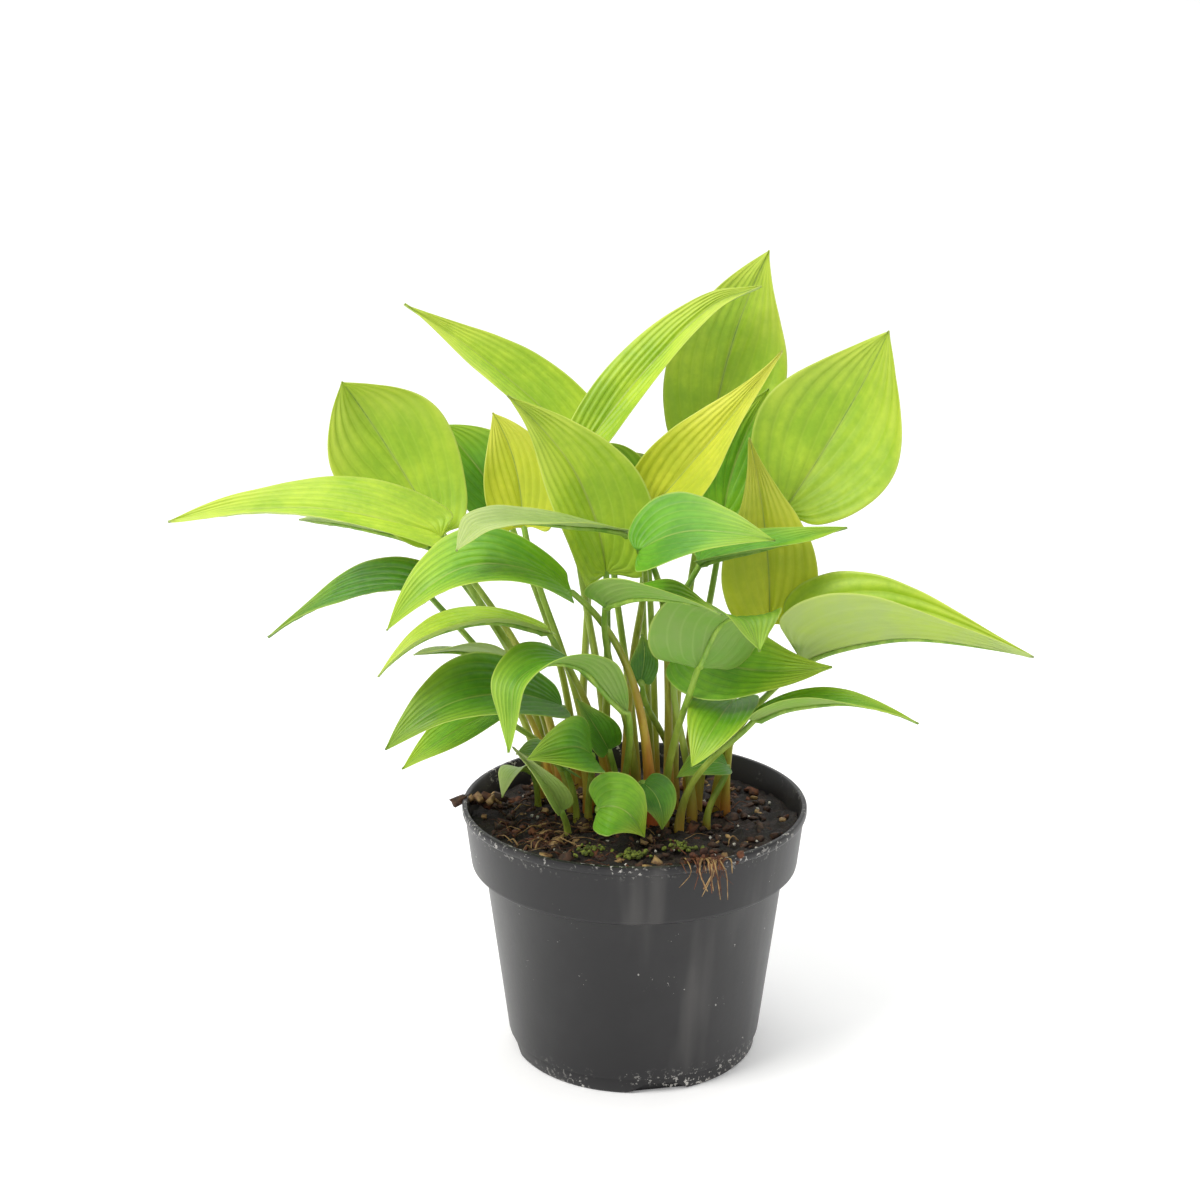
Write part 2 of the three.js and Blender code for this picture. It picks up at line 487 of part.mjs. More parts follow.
function soilGeometry() {
  const spread = 2 * SOIL_GAP;
  const levels = [BAND_FOOT_Z + 1.8, BAND_FOOT_Z - INNER_SHOULDER_DROP, FLOOR_Z + 2.4];
  const rings = [];
  for (let ring = 1; ring <= SOIL_RINGS; ring += 1) {
    const row = [];
    for (let spoke = 0; spoke < SOIL_SPOKES; spoke += 1) {
      const angle = (spoke * 2 * Math.PI) / SOIL_SPOKES;
      const edge = innerRadiusAt(soilHeight(0, 0) - SOIL_EDGE_DROP) - spread;
      const reach = (edge * ring) / SOIL_RINGS;
      const x = Math.cos(angle) * reach;
      const y = Math.sin(angle) * reach;
      row.push(new THREE.Vector3(x, y, soilHeight(x, y)));
    }
    rings.push(row);
  }
  for (const z of levels) {
    const row = [];
    for (let spoke = 0; spoke < SOIL_SPOKES; spoke += 1) {
      const angle = (spoke * 2 * Math.PI) / SOIL_SPOKES;
      const reach = innerRadiusAt(z) - spread;
      row.push(new THREE.Vector3(Math.cos(angle) * reach, Math.sin(angle) * reach, z));
    }
    rings.push(row);
  }
  const bottom = new THREE.Vector3(0, 0, FLOOR_Z + SOIL_GAP);
  const lowest = rings[rings.length - 1].map((p) => new THREE.Vector3(p.x * SOIL_TAPER, p.y * SOIL_TAPER, bottom.z));
  rings.push(lowest);
  return skin(rings, new THREE.Vector3(0, 0, soilHeight(0, 0)), bottom);
}

// ---- assembly ----
const group = new THREE.Group();

function addPart(name, geometry, colour, roughness) {
  const material = new THREE.MeshStandardMaterial({ color: colour, roughness, metalness: 0 });
  const mesh = new THREE.Mesh(geometry, material);
  mesh.name = name;
  group.add(mesh);
}

addPart('pot', potGeometry(), colours.charcoal, 0.45);
addPart('soil', soilGeometry(), colours.soil, 0.95);
for (const leaf of leaves) {
  addPart(leaf.name, leafGeometry(leaf), colours[leaf.tone], 0.5);
}

export default group;
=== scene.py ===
# Potted homalomena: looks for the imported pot, soil and leaves. Metres, +Z up.
import json
import math
import random

import bpy
import numpy as np
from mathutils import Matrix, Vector, noise


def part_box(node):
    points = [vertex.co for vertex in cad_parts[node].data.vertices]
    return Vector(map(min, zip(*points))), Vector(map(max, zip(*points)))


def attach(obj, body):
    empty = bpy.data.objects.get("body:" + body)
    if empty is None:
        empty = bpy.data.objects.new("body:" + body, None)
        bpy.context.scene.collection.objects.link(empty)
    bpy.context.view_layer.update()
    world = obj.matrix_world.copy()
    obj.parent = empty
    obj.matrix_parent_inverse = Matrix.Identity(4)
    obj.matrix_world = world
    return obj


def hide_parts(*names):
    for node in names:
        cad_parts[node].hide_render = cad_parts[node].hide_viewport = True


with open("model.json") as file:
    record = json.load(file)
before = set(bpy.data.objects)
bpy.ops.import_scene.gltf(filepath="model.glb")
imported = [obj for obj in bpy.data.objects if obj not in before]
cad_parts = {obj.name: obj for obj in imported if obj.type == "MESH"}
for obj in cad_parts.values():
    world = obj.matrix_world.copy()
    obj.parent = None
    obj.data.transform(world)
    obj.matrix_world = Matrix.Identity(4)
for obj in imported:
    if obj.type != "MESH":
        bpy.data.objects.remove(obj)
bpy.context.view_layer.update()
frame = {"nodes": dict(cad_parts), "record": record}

mm = 0.001
# points of a sheet nearer than this are merged
mergeGap = 0.002 * mm
scene = bpy.context.scene
slotOf = {part["node"]: part["material_slot"] for part in frame["record"]["subparts"]}
leafNames = sorted(name for name in frame["nodes"] if name.startswith("leaf_"))


# small tools

def deselectAll():
    if bpy.context.object and bpy.context.object.mode != "OBJECT":
        bpy.ops.object.mode_set(mode="OBJECT")
    bpy.ops.object.select_all(action="DESELECT")


def useOnly(obj):
    deselectAll()
    obj.select_set(True)
    bpy.context.view_layer.objects.active = obj


def editMesh(obj, *steps):
    # each step is (operator, settings), run with everything selected
    useOnly(obj)
    bpy.ops.object.mode_set(mode="EDIT")
    bpy.ops.mesh.select_all(action="SELECT")
    for operator, settings in steps:
        operator(**settings)
    bpy.ops.object.mode_set(mode="OBJECT")


def applyModifier(obj, kind, **settings):
    useOnly(obj)
    modifier = obj.modifiers.new(kind.title(), kind)
    for key, value in settings.items():
        setattr(modifier, key, value)
    bpy.ops.object.modifier_apply(modifier=modifier.name)


def joinPieces(pieces, name):
    deselectAll()
    for piece in pieces:
        piece.select_set(True)
    bpy.context.view_layer.objects.active = pieces[0]
    if len(pieces) > 1:
        bpy.ops.object.join()
    joined = bpy.context.object
    joined.name = name
    joined.data.name = name
    return joined


def settle(obj):
    # the place goes into the mesh, as a finished piece has it
    useOnly(obj)
    bpy.ops.object.transform_apply(location=True, rotation=True, scale=True)


def shadeSmooth(obj, angle=None):
    useOnly(obj)
    if angle is None:
        bpy.ops.object.shade_smooth()
    else:
        bpy.ops.object.shade_smooth_by_angle(angle=math.radians(angle))


def gridSheet(name, rows, columns, points, merge=True):
    # a grid primitive pulled to the given points; its UV map keeps (across, along)
    deselectAll()
    bpy.ops.mesh.primitive_grid_add(x_subdivisions=columns - 1, y_subdivisions=rows - 1, size=1)
    sheet = bpy.context.object
    sheet.name = name
    sheet.data.name = name
    sheet.data.vertices.foreach_set("co", np.asarray(points, np.float32).reshape(-1))
    sheet.data.update()
    if merge:
        editMesh(sheet, (bpy.ops.mesh.remove_doubles, {"threshold": mergeGap}))
    return sheet


def hermite(knots, values, samples):
    # smooth curve through values at knots, for arrays of points
    knots = np.asarray(knots, float)
    values = np.asarray(values, float)
    slopes = np.zeros_like(values)
    gaps = np.diff(knots)
    steps = np.diff(values, axis=0) / gaps.reshape((-1,) + (1,) * (values.ndim - 1))
    slopes[0], slopes[-1] = steps[0], steps[-1]
    for i in range(1, len(knots) - 1):
        slopes[i] = (steps[i - 1] * gaps[i] + steps[i] * gaps[i - 1]) / (gaps[i - 1] + gaps[i])
    out = []
    for s in samples:
        i = int(min(max(np.searchsorted(knots, s) - 1, 0), len(gaps) - 1))
        x = (s - knots[i]) / gaps[i]
        out.append(
            values[i] * (1 + 2 * x) * (1 - x) ** 2 + slopes[i] * gaps[i] * x * (1 - x) ** 2
            + values[i + 1] * x * x * (3 - 2 * x) + slopes[i + 1] * gaps[i] * x * x * (x - 1))
    return np.array(out)


def smooth(edge0, edge1, x):
    x = np.clip((x - edge0) / (edge1 - edge0), 0, 1)
    return x * x * (3 - 2 * x)


# material tools

class Sum:
    # a value socket that can be added, multiplied and so on

    def __init__(self, tree, socket):
        self.tree = tree
        self.socket = socket

    def math(self, operation, *others, clamp=False):
        node = self.tree.nodes.new("ShaderNodeMath")
        node.operation = operation
        node.use_clamp = clamp
        for place, value in enumerate((self, *others)):
            if isinstance(value, Sum):
                self.tree.links.new(value.socket, node.inputs[place])
            else:
                node.inputs[place].default_value = value
        return Sum(self.tree, node.outputs[0])

    def __add__(self, other):
        return self.math("ADD", other)

    def __radd__(self, other):
        return self.math("ADD", other)

    def __sub__(self, other):
        return self.math("SUBTRACT", other)

    def __rsub__(self, other):
        return (self * -1) + other

    def __mul__(self, other):
        return self.math("MULTIPLY", other)

    def __rmul__(self, other):
        return self.math("MULTIPLY", other)

    def __pow__(self, other):
        return self.math("POWER", other)

    def __abs__(self):
        return self.math("ABSOLUTE")


class Finish:
    def __init__(self, name):
        self.material = bpy.data.materials.new(name)
        self.material.use_nodes = True
        self.tree = self.material.node_tree
        self.shader = self.tree.nodes["Principled BSDF"]

    def node(self, kind, settings=None, inputs=None, out=0):
        made = self.tree.nodes.new(kind)
        for key, value in (settings or {}).items():
            setattr(made, key, value)
        for key, value in (inputs or {}).items():
            self.feed(made.inputs[key], value)
        return Sum(self.tree, made.outputs[out])

    def feed(self, socket, value):
        if isinstance(value, Sum):
            self.tree.links.new(value.socket, socket)
        else:
            socket.default_value = value

    def set(self, **sockets):
        for key, value in sockets.items():
            self.feed(self.shader.inputs[key.replace("_", " ")], value)

    def place(self):
        return self.node("ShaderNodeTexCoord", out=3)

    def attribute(self, name):
        return self.node("ShaderNodeAttribute", {"attribute_name": name}, out=2)

    def uv(self):
        split = self.tree.nodes.new("ShaderNodeSeparateXYZ")
        self.feed(split.inputs[0], self.node("ShaderNodeTexCoord", out=2))
        return Sum(self.tree, split.outputs[0]), Sum(self.tree, split.outputs[1])

    def xyz(self):
        split = self.tree.nodes.new("ShaderNodeSeparateXYZ")
        self.feed(split.inputs[0], self.place())
        return [Sum(self.tree, split.outputs[i]) for i in range(3)]

    def noise(self, scale, detail=3, roughness=0.55, distortion=0, vector=None):
        return self.node("ShaderNodeTexNoise", None, {
            "Vector": vector or self.place(), "Scale": scale, "Detail": detail,
            "Roughness": roughness, "Distortion": distortion})

    def between(self, value, low, high, start=0.0, end=1.0):
        return self.node("ShaderNodeMapRange", {"interpolation_type": "SMOOTHSTEP"}, {
            "Value": value, "From Min": low, "From Max": high, "To Min": start, "To Max": end})

    def mix(self, factor, one, other, blend="MIX"):
        made = self.tree.nodes.new("ShaderNodeMix")
        made.data_type = "RGBA"
        made.blend_type = blend
        self.feed(made.inputs[0], factor)
        self.feed(made.inputs[6], one)
        self.feed(made.inputs[7], other)
        return Sum(self.tree, made.outputs[2])

    def bump(self, height, strength, distance):
        return self.node("ShaderNodeBump", None, {
            "Height": height, "Strength": strength, "Distance": distance})


def rgb(text):
    # a display colour such as "a8c93a" as linear values
    parts = [int(text[i:i + 2], 16) / 255 for i in (0, 2, 4)]
    return tuple(p / 12.92 if p <= 0.04045 else ((p + 0.055) / 1.055) ** 2.4 for p in parts) + (1.0,)


# camera, floor and light

view = {"place": (-0.012, -0.700, 0.366), "down": 16.17, "lens": 64.4}
studio = {"floor": "fbfbfb", "grain": "f7f7f7", "width": 9.0, "back": 2.6, "rise": 3.2, "bend": 1.1,
          "sky": 0.7, "glow": 0.13}
lights = {
    "key": {"place": (-0.95, -0.75, 1.5), "target": (0, 0, 0.12), "size": 0.8, "power": 22,
            "colour": (1, 0.985, 0.96)},
    "top": {"place": (0.1, 0.35, 1.6), "target": (0, 0, 0.15), "size": 1.2, "power": 9,
            "colour": (1, 1, 1)},
}


def makeCamera():
    data = bpy.data.cameras.new("camera")
    data.lens = view["lens"]
    data.sensor_width = 36
    camera = bpy.data.objects.new("camera", data)
    scene.collection.objects.link(camera)
    camera.location = view["place"]
    camera.rotation_euler = (math.radians(90 - view["down"]), 0, 0)
    scene.camera = camera


def makeFloor():
    deselectAll()
    width = studio["width"]
    bpy.ops.mesh.primitive_plane_add(size=width, location=(0, studio["back"] - width / 2, 0))
    floor = bpy.context.object
    floor.name = "studio_floor"
    settle(floor)
    bpy.ops.object.mode_set(mode="EDIT")
    bpy.ops.mesh.select_all(action="DESELECT")
    bpy.ops.object.mode_set(mode="OBJECT")
    floor.data.polygons[0].select = False
    for edge in floor.data.edges:
        edge.select = all(floor.data.vertices[v].co.y > studio["back"] - 0.01 for v in edge.vertices)
    bpy.ops.object.mode_set(mode="EDIT")
    bpy.ops.mesh.select_mode(type="EDGE")
    bpy.ops.mesh.extrude_region_move(TRANSFORM_OT_translate={"value": (0, 0, studio["rise"])})
    bpy.ops.object.mode_set(mode="OBJECT")
    for edge in floor.data.edges:
        ends = [floor.data.vertices[v].co for v in edge.vertices]
        edge.select = all(p.y > studio["back"] - 0.01 and p.z < 0.01 for p in ends)
    bpy.ops.object.mode_set(mode="EDIT")
    bpy.ops.mesh.bevel(offset=studio["bend"], segments=16)
    bpy.ops.object.mode_set(mode="OBJECT")
    shadeSmooth(floor)
    finish = Finish("studio_floor")
    grain = finish.noise(40, 2)
    finish.set(Base_Color=finish.mix(grain, rgb(studio["floor"]), rgb(studio["grain"])), Roughness=0.9)
    finish.set(Specular_IOR_Level=0.15, Emission_Color=(1, 1, 1, 1), Emission_Strength=studio["glow"])
    floor.data.materials.append(finish.material)


def areaLight(name, place, target, size, power, colour):
    data = bpy.data.lights.new(name, "AREA")
    data.shape = "DISK"
    data.size = size
    data.energy = power
    data.color = colour
    light = bpy.data.objects.new(name, data)
    scene.collection.objects.link(light)
    light.location = place
    light.rotation_euler = (Vector(target) - Vector(place)).to_track_quat("-Z", "Y").to_euler()


def makeLight():
    world = bpy.data.worlds.new("studio_sky")
    scene.world = world
    world.use_nodes = True
    world.node_tree.nodes["Background"].inputs[0].default_value = (1, 1, 1, 1)
    world.node_tree.nodes["Background"].inputs[1].default_value = studio["sky"]
    for name, light in lights.items():
        areaLight(name, **light)
    scene.view_settings.view_transform = "Standard"


makeCamera()
makeFloor()
makeLight()
print("studio ready")


# pot

pot = {
    "sides": 160, "wall": 1.4 * mm, "rimLip": 2.6 * mm, "bandFoot": 0.95, "bandDrop": 21 * mm,
    "shoulder": 0.871, "foot": 0.733, "ring": 0.72, "ringHeight": 6 * mm,
    "notches": 4, "notchAngle": 281, "notchWidth": 24 * mm, "notchTopShare": 0.44,
    "notchHeight": 3.6 * mm, "notchDepth": 10 * mm,
    "colour": "151416", "dull": "1e1d1f", "dust": "8d8a86", "lime": "d9d6cf",
}


def potFinish():
    finish = Finish("pot_plastic")
    z = finish.xyz()[2]
    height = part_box("pot")[1].z
    broad = finish.noise(28, 4, 0.6)
    fine = finish.noise(900, 2, 0.6)
    dull = finish.between(broad, 0.42, 0.72)
    base = finish.mix(dull, rgb(pot["colour"]), rgb(pot["dull"]))
    # lime and dust specks, thick at the foot and the rim and thin between
    nearFoot = finish.between(z, 0.0, 0.011, 1.0, 0.0)
    nearRim = finish.between(z, height - 0.007, height, 0.0, 0.75)
    crowd = nearFoot.math("MAXIMUM", nearRim)
    patch = finish.between(finish.noise(34, 3, 0.6), 0.40, 0.56)
    grit = finish.noise(620, 3, 0.65)
    specks = finish.between(grit, 0.665, 0.70)
    thick = finish.between(grit, 0.575, 0.62) * crowd * patch
    sparse = specks * finish.between(finish.noise(75, 2), 0.60, 0.66) * 0.8
    dots = thick.math("MAXIMUM", sparse, clamp=True)
    colour = finish.mix(dots * 0.9, base, rgb(pot["lime"]))
    streak = finish.noise(60, 3, 0.5, 0, finish.node(
        "ShaderNodeMapping", None, {"Vector": finish.place(), "Scale": (1, 1, 0.08)}))
    colour = finish.mix(finish.between(streak, 0.55, 0.8, 0, 0.16), colour, rgb(pot["dust"]))
    rough = 0.3 + 0.1 * broad + 0.3 * dots + 0.05 * fine
    relief = fine * 0.2 + finish.noise(170, 2) * 0.65 + dots * 1.2
    finish.set(Base_Color=colour, Roughness=rough, Normal=finish.bump(relief, 0.12, 0.0004))
    finish.set(Specular_IOR_Level=0.42)
    return finish.material


def makePot():
    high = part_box("pot")[1]
    rim, top = high.x, high.z
    wall, lip = pot["wall"], pot["rimLip"]
    band, bandZ = rim * pot["bandFoot"], top - pot["bandDrop"]
    ring, ringZ = rim * pot["ring"], pot["ringHeight"]
    shoulder, foot = rim * pot["shoulder"], rim * pot["foot"]
    outline = [
        # under the floor, and the foot ring
        (0, 0), (9 * mm, 0), (11 * mm, 2 * mm), (ring - 5 * mm, 1.8 * mm), (ring - 3 * mm, 0),
        (ring - 0.8 * mm, 0), (ring, 0.9 * mm), (ring + 0.3 * mm, ringZ - 0.5 * mm),
        # the side, with the step out to the band
        (foot + 0.5 * mm, ringZ), (foot + 0.7 * mm, ringZ + 0.8 * mm), (shoulder, bandZ - 3 * mm),
        (shoulder + 1.3 * mm, bandZ - 1 * mm), (band - 0.9 * mm, bandZ - 0.8 * mm),
        (band - 0.1 * mm, bandZ - 0.1 * mm), (band + 0.1 * mm, bandZ + 0.8 * mm),
        # the rim
        (rim - 0.9 * mm, top - lip - 0.7 * mm), (rim - 0.15 * mm, top - lip), (rim, top - lip + 0.5 * mm),
        (rim, top - 0.7 * mm), (rim - 0.25 * mm, top - 0.2 * mm), (rim - 0.8 * mm, top),
        (rim - 1.6 * mm, top - 0.1 * mm), (rim - 2.1 * mm, top - 0.7 * mm),
        # the inside, down to the floor
        (band - wall, bandZ + 1.4 * mm), (shoulder - wall, bandZ - 2.2 * mm), (foot - wall, 5 * mm),
        (foot - wall - 1.6 * mm, 3.4 * mm), (0, 3.4 * mm),
    ]
    deselectAll()
    bpy.ops.mesh.primitive_circle_add(vertices=len(outline), radius=1, fill_type="NOTHING")
    shell = bpy.context.object
    for vertex, (r, z) in zip(shell.data.vertices, outline):
        vertex.co = (r, 0, z)
    bpy.ops.object.mode_set(mode="EDIT")
    bpy.ops.mesh.select_mode(type="EDGE")
    bpy.ops.object.mode_set(mode="OBJECT")
    for edge in shell.data.edges:
        edge.select = all(shell.data.vertices[v].co.x < 1e-6 for v in edge.vertices)
    bpy.ops.object.mode_set(mode="EDIT")
    bpy.ops.mesh.delete(type="EDGE")  # the side on the axis stays open
    bpy.ops.mesh.select_all(action="SELECT")
    bpy.ops.mesh.spin(steps=pot["sides"], angle=math.tau, axis=(0, 0, 1), center=(0, 0, 0))
    bpy.ops.mesh.select_all(action="SELECT")
    bpy.ops.mesh.remove_doubles(threshold=1e-6)
    bpy.ops.mesh.normals_make_consistent(inside=False)
    bpy.ops.object.mode_set(mode="OBJECT")
    for step in range(pot["notches"]):
        angle = math.radians(pot["notchAngle"] + step * 360 / pot["notches"])
        cutFrom(shell, angle, ring + 2 * mm)
    shell.name = "nursery_pot"
    shadeSmooth(shell, 38)
    shell.data.materials.append(potFinish())
    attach(shell, "root")
    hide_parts("pot")


def cutFrom(shell, angle, reach):
    # one tapered notch in the foot ring
    deselectAll()
    bpy.ops.mesh.primitive_cube_add(size=1)
    cutter = bpy.context.object
    half, height = pot["notchWidth"] / 2, pot["notchHeight"]
    for vertex in cutter.data.vertices:
        side, depth, up = vertex.co * 2
        width = half if up < 0 else half * pot["notchTopShare"]
        vertex.co = (side * width, depth * pot["notchDepth"] / 2, height if up > 0 else -1 * mm)
    cutter.rotation_euler = (0, 0, angle + math.pi / 2)
    cutter.location = (math.cos(angle) * reach, math.sin(angle) * reach, 0)
    settle(cutter)
    applyModifier(shell, "BOOLEAN", operation="DIFFERENCE", solver="EXACT", object=cutter)
    bpy.data.objects.remove(cutter)


makePot()
print("pot ready")


# leaves

# a leaf shorter than fullLength has its quilt, groove and waves scaled down
blade = {"rows": 60, "columns": 49, "thickness": 0.32 * mm, "marginThickness": 0.5,
         "veins": 5.2, "drift": 2.3, "quilt": 0.55 * mm, "groove": 0.7 * mm, "wave": 1.5 * mm,
         "buckle": 0.9 * mm, "fullLength": 70 * mm}
stalk = {"rows": 30, "sides": 14, "sink": 5 * mm, "sheath": 1.25, "channel": 0.22, "ribTip": 0.12 * mm}
# corners of a packed leaf that round to the same step of this size are one corner
cornerGrain = 0.02 * mm
tones = {
    "leaf_lime": {"top": "b2cd33", "deep": "8bb022", "tip": "c3d254", "under": "a6bb6c"},
    "leaf_fresh": {"top": "7fb51c", "deep": "55930e", "tip": "b9cf3e", "under": "8fac55"},
    "leaf_mid_green": {"top": "67a51b", "deep": "47860d", "tip": "a6c33a", "under": "84a350"},
    "leaf_deep_green": {"top": "549314", "deep": "38700a", "tip": "95b035", "under": "75944a"},
    "leaf_yellow_green": {"top": "d2d63c", "deep": "b9c530", "tip": "d6d757", "under": "b4bd62"},
    "leaf_pale_green": {"top": "99b25c", "deep": "7f9b45", "tip": "b6c47c", "under": "9db272"},
}
blush = {"leaf_centre_left": 1.0, "leaf_lower_left_large": 0.7, "leaf_centre_left_narrow": 0.8,
         "leaf_right_drooping": 0.5, "leaf_middle_level": 0.6, "leaf_left_hidden_grey": 0.9,
         "leaf_centre_right": 0.45, "leaf_left_long": 0.6}


def readLeaf(name):
    # the rings of a packed leaf, from its stalk's foot to its tip, and the tip
    source = frame["nodes"][name].data
    points = np.zeros(len(source.vertices) * 3)
    source.vertices.foreach_get("co", points)
    points = points.reshape(-1, 3)
    keys = {}
    merged = []
    owner = []
    for point in points:
        key = tuple(np.round(point / cornerGrain).astype(int))
        if key not in keys:
            keys[key] = len(merged)
            merged.append(point)
        owner.append(keys[key])
    merged = np.array(merged)
    links = [set() for _ in merged]
    for polygon in source.polygons:
        corners = [owner[v] for v in polygon.vertices]
        for a, b in zip(corners, corners[1:] + corners[:1]):
            if a != b:
                links[a].add(b)
                links[b].add(a)
    for start in range(len(merged)):
        if len(links[start]) != 8:
            continue
        layers = [[start]]
        seen = {start}
        while True:
            beyond = sorted({n for v in layers[-1] for n in links[v]} - seen)
            if not beyond:
                break
            layers.append(beyond)
            seen.update(beyond)
        if any(len(layer) != 8 for layer in layers[1:-1]) or len(layers[-1]) != 1:
            continue
        first = merged[layers[1]]
        reach = np.linalg.norm(first - first.mean(0), axis=1)
        if reach.max() < 2 * reach.min():
            return orderRings(merged, links, layers)
    raise ValueError(f"{name} isn't a leaf of rings")


def orderRings(points, links, layers):
    rings = []
    for layer in layers[1:-1]:
        inside = set(layer)
        ring = [layer[0]]
        while len(ring) < len(layer):
            after = [n for n in links[ring[-1]] if n in inside and n not in ring]
            ring.append(sorted(after)[0])
        rings.append(ring)
    # the channel on a stalk's upper side is the point nearest its middle
    def channel(ring):
        spread = points[ring] - points[ring].mean(0)
        return int(np.argmin(np.linalg.norm(spread, axis=1)))
    rings[0] = np.roll(rings[0], -channel(rings[0])).tolist()
    lean = 0
    for before, ring in zip(rings, rings[1:]):
        options = []
        for turned in (ring, ring[::-1]):
            for shift in range(8):
                tried = turned[shift:] + turned[:shift]
                straight = sum(b in links[a] for a, b in zip(before, tried))
                if straight == 8:
                    slant = sum(b in links[a] for a, b in zip(before, tried[1:] + tried[:1]))
                    options.append((tried, 1 if slant == 8 else -1))
        if lean == 0:
            options.sort(key=lambda option: channel(option[0]))
            lean = options[0][1]
            ring[:] = options[0][0]
        else:
            ring[:] = next(option[0] for option in options if option[1] == lean)
    return np.array([points[ring] for ring in rings]), points[layers[-1][0]]


def isStalk(ring):
    reach = np.linalg.norm(ring - ring.mean(0), axis=1)
    return reach.max() < 2.2 * reach.min()


def leafSurface(rings, tip, seed):
    # the blade's middle surface (points, normals, share of its length at each row) and the stalk's rings
    stalkRings = [r for r in rings if isStalk(r)]
    bladeRings = rings[len(stalkRings):]
    base = stalkRings[-1].mean(0)
    columns = []
    for ring in bladeRings:
        columns.append([ring[6], (ring[7] + ring[5]) / 2, (ring[0] + ring[4]) / 2,
                        (ring[1] + ring[3]) / 2, ring[2]])
    grid = np.array([[base] * 5] + columns + [[tip] * 5])
    run = np.concatenate([[0], np.cumsum(np.linalg.norm(np.diff(grid[:, 2], axis=0), axis=1))])
    length = run[-1]
    t = np.linspace(0, 1, blade["rows"]) ** 1.15
    lines = hermite(run / length, grid, t)
    v = np.linspace(-1, 1, blade["columns"])
    a = np.abs(v)
    side = (v > 0).astype(int)
    middle = lines[:, 2]
    mid = np.where(side[None, :, None] == 1, lines[:, 3][:, None], lines[:, 1][:, None])
    edge = np.where(side[None, :, None] == 1, lines[:, 4][:, None], lines[:, 0][:, None])
    w0, w1, w2 = (1 - a) * (1 - 2 * a), 4 * a * (1 - a), a * (2 * a - 1)
    points = middle[:, None] * w0[None, :, None] + mid * w1[None, :, None] + edge * w2[None, :, None]
    along = np.gradient(points, axis=0)
    across = np.gradient(points, axis=1)
    normal = np.cross(across, along)
    normal = normal / np.maximum(np.linalg.norm(normal, axis=2, keepdims=True), 1e-12)
    up = (bladeRings[:, 0] - bladeRings[:, 4]).mean(0)
    if (normal[8:-8].reshape(-1, 3) @ up).mean() < 0:
        normal = -normal
    normal[0] = normal[3].mean(0)
    normal[-1] = normal[-3].mean(0)
    # veins sink, the blade puffs between them, and the margin waves
    tt, aa = np.meshgrid(t, a, indexing="ij")
    width = np.linalg.norm(edge - middle[:, None], axis=2)
    veinPlace = blade["veins"] * aa ** 0.9 - blade["drift"] * tt
    puff = np.abs(np.sin(np.pi * veinPlace)) ** 0.7 - 0.6
    fadeAcross = smooth(0.02, 0.1, aa) * (1 - smooth(0.86, 1, aa))
    fadeAlong = (1 - smooth(0.8, 0.98, tt)) * smooth(0, 0.1, tt)
    size = min(1, length / blade["fullLength"])
    groove = -np.exp(-(aa / 0.06) ** 2) * blade["groove"] * size * (1 - tt)
    rng = random.Random(seed)
    phase, pace = rng.uniform(0, 6.28), rng.uniform(1.5, 2.6)
    sway = np.sin(pace * np.pi * tt + phase + (v > 0)[None, :] * rng.uniform(1, 4))
    wave = sway * aa ** 2.2 * blade["wave"] * size ** 1.6 * np.minimum(1, width / (10 * mm))
    # each vein's swelling differs, and the whole blade buckles a little
    shift = rng.uniform(0, 50)
    puff = puff * np.array([[0.75 + 0.5 * noise.noise(Vector((shift, round(p), 3 * u))) + 0.25
                             for p, u in zip(row, line)] for row, line in zip(veinPlace, tt)])
    wave = wave + blade["buckle"] * size * smooth(0, 0.2, tt) * np.array(
        [[noise.noise(Vector((3.2 * u, 1.6 * w, shift))) for u, w in zip(row, line)]
         for row, line in zip(tt, np.broadcast_to(v, tt.shape))])
    quilt = puff * fadeAcross * fadeAlong * blade["quilt"] * size
    points = points + normal * (quilt + groove + wave)[:, :, None]
    return points, normal, t, stalkRings


def makeBlade(name, points, normal):
    sheet = gridSheet(name, blade["rows"], blade["columns"], points, merge=False)
    group = sheet.vertex_groups.new(name="thick")
    columns = blade["columns"]
    weights = 1 - smooth(0.7, 1.0, np.abs(np.linspace(-1, 1, columns)))
    for column in range(columns):
        group.add(list(range(column, blade["rows"] * columns, columns)), float(weights[column]), "REPLACE")
    editMesh(sheet, (bpy.ops.mesh.remove_doubles, {"threshold": mergeGap}))
    facing = np.array([p.normal for p in sheet.data.polygons])
    centres = np.array([p.center for p in sheet.data.polygons])
    flat, flatNormal = points.reshape(-1, 3), normal.reshape(-1, 3)
    sample = range(len(centres) // 3, 2 * len(centres) // 3, 17)
    agree = sum(facing[i] @ flatNormal[np.argmin(((flat - centres[i]) ** 2).sum(1))] for i in sample)
    if agree < 0:
        editMesh(sheet, (bpy.ops.mesh.flip_normals, {}))
    return sheet


def tubeAlong(name, centres, sides, tops, radii):
    # a grid wrapped into a tube with a channel on top, closed to a point at both ends
    count = stalk["sides"]
    angles = np.linspace(0, 2 * np.pi, count + 1)
    rows = [np.repeat(centres[0][None], count + 1, axis=0)]
    for centre, side, top, radius in zip(centres, sides, tops, radii):
        dip = np.exp(-(np.minimum(angles, 2 * np.pi - angles) / 0.5) ** 2)
        reach = radius * (1 - stalk["channel"] * dip)
        rows.append(centre + np.outer(np.sin(angles) * reach, side) + np.outer(np.cos(angles) * reach, top))
    rows.append(np.repeat(centres[-1][None], count + 1, axis=0))
    tube = gridSheet(name, len(rows), count + 1, np.array(rows))
    editMesh(tube, (bpy.ops.mesh.normals_make_consistent, {"inside": False}))
    return tube


